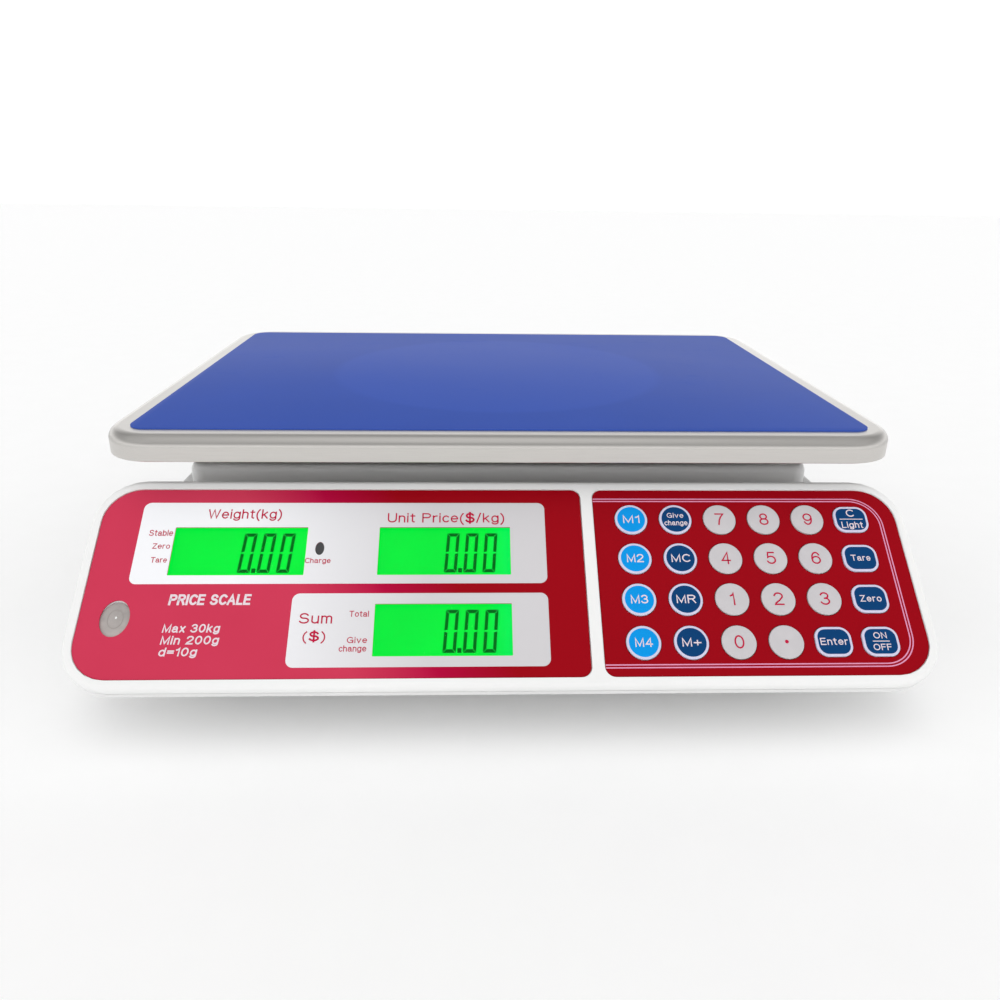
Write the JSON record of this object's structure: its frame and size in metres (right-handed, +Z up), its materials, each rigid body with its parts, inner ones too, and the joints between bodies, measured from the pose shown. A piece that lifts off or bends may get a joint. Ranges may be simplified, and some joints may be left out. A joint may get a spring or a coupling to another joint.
{
  "type": "retail price scale",
  "caption": "Counter-top price-computing scale: steel pan over a white housing, sloping operator console with green displays and a keypad, rear customer display, levelling feet.",
  "frame": {"origin": "on the counter, under the middle of the scale's overall outline", "axes": "+Z up; +X to the operator's right; +Y from the operator towards the customer"},
  "size_m": [0.344, 0.329, 0.108],
  "materials": {
    "housing": "white injection-moulded ABS, fine matt texture",
    "panel": "printed red polyester film",
    "clear_plastic": "clear acrylic",
    "lcd": "liquid-crystal display, lit green from behind",
    "circuit_board": "green circuit board with components",
    "black_plastic": "black moulded nylon",
    "rubber": "black rubber",
    "cast_metal": "die-cast aluminium",
    "load_cell_metal": "machined aluminium",
    "fastener": "zinc-plated steel",
    "pan_steel": "satin stainless steel",
    "pan_film": "blue protective film, satin",
    "battery_case": "grey sealed battery case",
    "number_key": "silver-grey domed key cap",
    "function_key": "dark blue domed key cap with a white rim",
    "memory_key": "light blue domed key cap with a white rim"
  },
  "bodies": {
    "case": {"top_cover": "housing", "bottom_shell": "housing", "display_panel": "panel", "display_lens": "clear_plastic", "lcd_weight": "lcd", "lcd_unit_price": "lcd", "lcd_total": "lcd", "main_board": "circuit_board", "charge_light": "black_plastic", "spirit_level": "clear_plastic", "keypad_panel": "panel", "keypad_circuit": "circuit_board", "customer_panel": "panel", "customer_lcd": "lcd", "power_inlet": "black_plastic", "battery": "battery_case", "load_cell_base": "cast_metal", "load_cell": "load_cell_metal", "fixed_end_bolts": "fastener"},
    "platform": {"pan_spider": "cast_metal", "live_end_bolts": "fastener", "pan_cushion_front_left": "rubber", "pan_cushion_front_right": "rubber", "pan_cushion_back_left": "rubber", "pan_cushion_back_right": "rubber"},
    "pan": {"weighing_pan": "pan_steel", "pan_film": "pan_film"},
    "battery_door": {"battery_door": "housing"},
    "foot_pad_front_left": {"foot_pad_front_left": "rubber"},
    "foot_screw_front_left": {"foot_screw_front_left": "black_plastic"},
    "foot_pad_front_right": {"foot_pad_front_right": "rubber"},
    "foot_screw_front_right": {"foot_screw_front_right": "black_plastic"},
    "foot_pad_back_left": {"foot_pad_back_left": "rubber"},
    "foot_screw_back_left": {"foot_screw_back_left": "black_plastic"},
    "foot_pad_back_right": {"foot_pad_back_right": "rubber"},
    "foot_screw_back_right": {"foot_screw_back_right": "black_plastic"},
    "key_m1": {"key_m1": "memory_key"},
    "key_change": {"key_change": "function_key"},
    "key_7": {"key_7": "number_key"},
    "key_8": {"key_8": "number_key"},
    "key_9": {"key_9": "number_key"},
    "key_clear_light": {"key_clear_light": "function_key"},
    "key_m2": {"key_m2": "memory_key"},
    "key_mc": {"key_mc": "function_key"},
    "key_4": {"key_4": "number_key"},
    "key_5": {"key_5": "number_key"},
    "key_6": {"key_6": "number_key"},
    "key_tare": {"key_tare": "function_key"},
    "key_m3": {"key_m3": "memory_key"},
    "key_mr": {"key_mr": "function_key"},
    "key_1": {"key_1": "number_key"},
    "key_2": {"key_2": "number_key"},
    "key_3": {"key_3": "number_key"},
    "key_zero": {"key_zero": "function_key"},
    "key_m4": {"key_m4": "memory_key"},
    "key_m_plus": {"key_m_plus": "function_key"},
    "key_0": {"key_0": "number_key"},
    "key_point": {"key_point": "number_key"},
    "key_enter": {"key_enter": "function_key"},
    "key_on_off": {"key_on_off": "function_key"}
  },
  "joints": [
    {"name": "platform_deflection", "type": "slide", "parent": "case", "child": "platform", "axis": [0, 0, 1], "range_m": [-0.00025, 0], "stiffness_N_per_m": 60000, "springref_m": 0.0005},
    {"name": "pan_lift", "type": "slide", "parent": "platform", "child": "pan", "axis": [0, 0, 1], "range_m": [0, 0.06]},
    {"name": "battery_door_hinge", "type": "hinge", "parent": "case", "child": "battery_door", "pos_m": [-0.0475, 0.0585, 0.01], "axis": [-1, 0, 0], "range_deg": [0, 95]},
    {"name": "foot_height_front_left", "type": "slide", "parent": "case", "child": "foot_pad_front_left", "axis": [0, 0, 1], "range_m": [-0.006, 0]},
    {"name": "foot_turn_front_left", "type": "hinge", "parent": "foot_pad_front_left", "child": "foot_screw_front_left", "pos_m": [-0.118, -0.105, 0.0075], "axis": [0, 0, 1], "range_deg": [-1730, 0]},
    {"name": "foot_height_front_right", "type": "slide", "parent": "case", "child": "foot_pad_front_right", "axis": [0, 0, 1], "range_m": [-0.006, 0]},
    {"name": "foot_turn_front_right", "type": "hinge", "parent": "foot_pad_front_right", "child": "foot_screw_front_right", "pos_m": [0.118, -0.105, 0.0075], "axis": [0, 0, 1], "range_deg": [-1730, 0]},
    {"name": "foot_height_back_left", "type": "slide", "parent": "case", "child": "foot_pad_back_left", "axis": [0, 0, 1], "range_m": [-0.006, 0]},
    {"name": "foot_turn_back_left", "type": "hinge", "parent": "foot_pad_back_left", "child": "foot_screw_back_left", "pos_m": [-0.118, 0.127, 0.0075], "axis": [0, 0, 1], "range_deg": [-1730, 0]},
    {"name": "foot_height_back_right", "type": "slide", "parent": "case", "child": "foot_pad_back_right", "axis": [0, 0, 1], "range_m": [-0.006, 0]},
    {"name": "foot_turn_back_right", "type": "hinge", "parent": "foot_pad_back_right", "child": "foot_screw_back_right", "pos_m": [0.118, 0.127, 0.0075], "axis": [0, 0, 1], "range_deg": [-1730, 0]},
    {"name": "press_m1", "type": "slide", "parent": "case", "child": "key_m1", "axis": [0, -0.6428, 0.766], "range_m": [-0.0006, 0], "stiffness_N_per_m": 2500, "springref_m": 0.0002},
    {"name": "press_change", "type": "slide", "parent": "case", "child": "key_change", "axis": [0, -0.6428, 0.766], "range_m": [-0.0006, 0], "stiffness_N_per_m": 2500, "springref_m": 0.0002},
    {"name": "press_7", "type": "slide", "parent": "case", "child": "key_7", "axis": [0, -0.6428, 0.766], "range_m": [-0.0006, 0], "stiffness_N_per_m": 2500, "springref_m": 0.0002},
    {"name": "press_8", "type": "slide", "parent": "case", "child": "key_8", "axis": [0, -0.6428, 0.766], "range_m": [-0.0006, 0], "stiffness_N_per_m": 2500, "springref_m": 0.0002},
    {"name": "press_9", "type": "slide", "parent": "case", "child": "key_9", "axis": [0, -0.6428, 0.766], "range_m": [-0.0006, 0], "stiffness_N_per_m": 2500, "springref_m": 0.0002},
    {"name": "press_clear_light", "type": "slide", "parent": "case", "child": "key_clear_light", "axis": [0, -0.6428, 0.766], "range_m": [-0.0006, 0], "stiffness_N_per_m": 2500, "springref_m": 0.0002},
    {"name": "press_m2", "type": "slide", "parent": "case", "child": "key_m2", "axis": [0, -0.6428, 0.766], "range_m": [-0.0006, 0], "stiffness_N_per_m": 2500, "springref_m": 0.0002},
    {"name": "press_mc", "type": "slide", "parent": "case", "child": "key_mc", "axis": [0, -0.6428, 0.766], "range_m": [-0.0006, 0], "stiffness_N_per_m": 2500, "springref_m": 0.0002},
    {"name": "press_4", "type": "slide", "parent": "case", "child": "key_4", "axis": [0, -0.6428, 0.766], "range_m": [-0.0006, 0], "stiffness_N_per_m": 2500, "springref_m": 0.0002},
    {"name": "press_5", "type": "slide", "parent": "case", "child": "key_5", "axis": [0, -0.6428, 0.766], "range_m": [-0.0006, 0], "stiffness_N_per_m": 2500, "springref_m": 0.0002},
    {"name": "press_6", "type": "slide", "parent": "case", "child": "key_6", "axis": [0, -0.6428, 0.766], "range_m": [-0.0006, 0], "stiffness_N_per_m": 2500, "springref_m": 0.0002},
    {"name": "press_tare", "type": "slide", "parent": "case", "child": "key_tare", "axis": [0, -0.6428, 0.766], "range_m": [-0.0006, 0], "stiffness_N_per_m": 2500, "springref_m": 0.0002},
    {"name": "press_m3", "type": "slide", "parent": "case", "child": "key_m3", "axis": [0, -0.6428, 0.766], "range_m": [-0.0006, 0], "stiffness_N_per_m": 2500, "springref_m": 0.0002},
    {"name": "press_mr", "type": "slide", "parent": "case", "child": "key_mr", "axis": [0, -0.6428, 0.766], "range_m": [-0.0006, 0], "stiffness_N_per_m": 2500, "springref_m": 0.0002},
    {"name": "press_1", "type": "slide", "parent": "case", "child": "key_1", "axis": [0, -0.6428, 0.766], "range_m": [-0.0006, 0], "stiffness_N_per_m": 2500, "springref_m": 0.0002},
    {"name": "press_2", "type": "slide", "parent": "case", "child": "key_2", "axis": [0, -0.6428, 0.766], "range_m": [-0.0006, 0], "stiffness_N_per_m": 2500, "springref_m": 0.0002},
    {"name": "press_3", "type": "slide", "parent": "case", "child": "key_3", "axis": [0, -0.6428, 0.766], "range_m": [-0.0006, 0], "stiffness_N_per_m": 2500, "springref_m": 0.0002},
    {"name": "press_zero", "type": "slide", "parent": "case", "child": "key_zero", "axis": [0, -0.6428, 0.766], "range_m": [-0.0006, 0], "stiffness_N_per_m": 2500, "springref_m": 0.0002},
    {"name": "press_m4", "type": "slide", "parent": "case", "child": "key_m4", "axis": [0, -0.6428, 0.766], "range_m": [-0.0006, 0], "stiffness_N_per_m": 2500, "springref_m": 0.0002},
    {"name": "press_m_plus", "type": "slide", "parent": "case", "child": "key_m_plus", "axis": [0, -0.6428, 0.766], "range_m": [-0.0006, 0], "stiffness_N_per_m": 2500, "springref_m": 0.0002},
    {"name": "press_0", "type": "slide", "parent": "case", "child": "key_0", "axis": [0, -0.6428, 0.766], "range_m": [-0.0006, 0], "stiffness_N_per_m": 2500, "springref_m": 0.0002},
    {"name": "press_point", "type": "slide", "parent": "case", "child": "key_point", "axis": [0, -0.6428, 0.766], "range_m": [-0.0006, 0], "stiffness_N_per_m": 2500, "springref_m": 0.0002},
    {"name": "press_enter", "type": "slide", "parent": "case", "child": "key_enter", "axis": [0, -0.6428, 0.766], "range_m": [-0.0006, 0], "stiffness_N_per_m": 2500, "springref_m": 0.0002},
    {"name": "press_on_off", "type": "slide", "parent": "case", "child": "key_on_off", "axis": [0, -0.6428, 0.766], "range_m": [-0.0006, 0], "stiffness_N_per_m": 2500, "springref_m": 0.0002}
  ],
  "couplings": [
    {"joint": "foot_turn_front_left", "follows": "foot_height_front_left", "rad_per_m": 5026.5},
    {"joint": "foot_turn_front_right", "follows": "foot_height_front_right", "rad_per_m": 5026.5},
    {"joint": "foot_turn_back_left", "follows": "foot_height_back_left", "rad_per_m": 5026.5},
    {"joint": "foot_turn_back_right", "follows": "foot_height_back_right", "rad_per_m": 5026.5}
  ]
}
